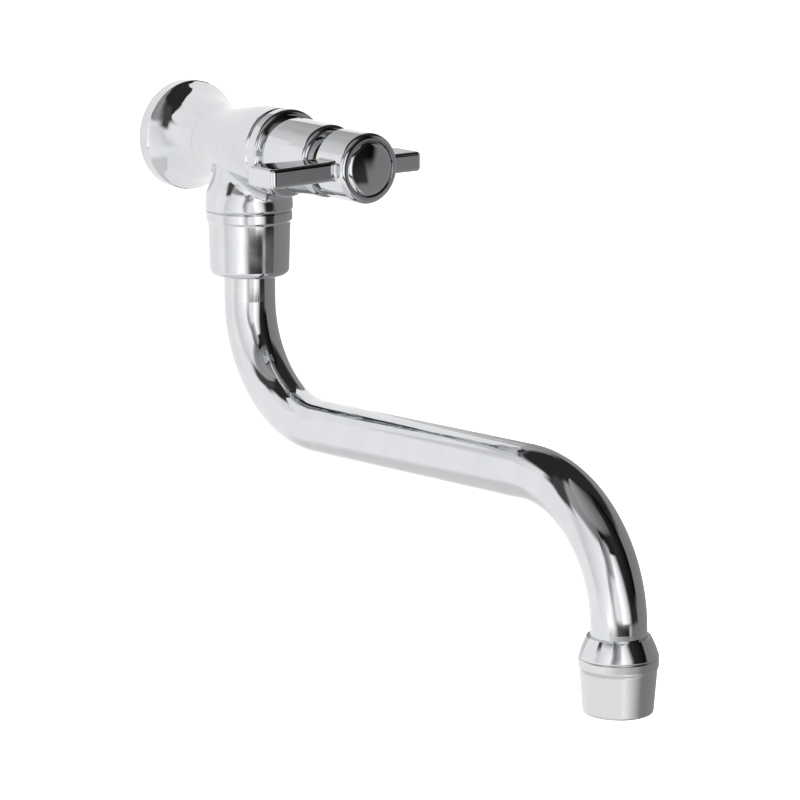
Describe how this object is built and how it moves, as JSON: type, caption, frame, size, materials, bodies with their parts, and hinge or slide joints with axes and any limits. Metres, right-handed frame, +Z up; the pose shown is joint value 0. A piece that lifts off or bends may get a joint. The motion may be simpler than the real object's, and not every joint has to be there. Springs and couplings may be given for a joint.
{
  "type": "wall-mounted kitchen tap",
  "caption": "Chrome kitchen tap fixed to a wall by its inlet thread, with a turning winged handle in front and a long bent spout that swings below the body.",
  "frame": {"origin": "inlet thread's axis at the wall plane", "axes": "+X right for someone facing the tap, +Y into the wall, +Z up"},
  "size_m": [0.0625, 0.2567, 0.1765],
  "materials": {
    "polished_chrome": "polished chrome plate on brass",
    "satin_chrome": "satin chrome plate on brass",
    "brass": "turned",
    "stainless_steel": "plain",
    "rubber": "moulded",
    "acetal": "moulded",
    "ceramic": "lapped"
  },
  "bodies": {
    "fixed_body": {"tap_body": "polished_chrome", "wall_flange": "polished_chrome", "headwork_cover": "polished_chrome", "swivel_nut": "polished_chrome", "slip_ring": "acetal", "headwork_housing": "brass", "headwork_o_ring": "rubber", "seat_seal": "rubber", "fixed_disc": "ceramic"},
    "handle_assembly": {"handle": "polished_chrome", "index_cap": "polished_chrome", "handle_screw": "stainless_steel", "spindle": "brass", "spindle_o_rings": "rubber", "spindle_circlip": "stainless_steel", "thrust_washer": "acetal", "moving_disc": "ceramic"},
    "spout_assembly": {"spout_tube": "polished_chrome", "spout_bush": "brass", "spout_o_rings": "rubber", "nozzle_fitting": "polished_chrome", "aerator_housing": "satin_chrome", "aerator_gasket": "rubber", "aerator_strainer": "acetal", "aerator_insert": "acetal", "aerator_screens": "stainless_steel"}
  },
  "joints": [
    {"name": "handle_turn", "type": "hinge", "parent": "fixed_body", "child": "handle_assembly", "pos_m": [0, -0.1, 0], "axis": [0, -1, 0], "range_deg": [0, 90]},
    {"name": "spout_swing", "type": "hinge", "parent": "fixed_body", "child": "spout_assembly", "pos_m": [0, -0.0394, -0.03], "axis": [0, 0, 1], "range_deg": [-95, 95]}
  ]
}
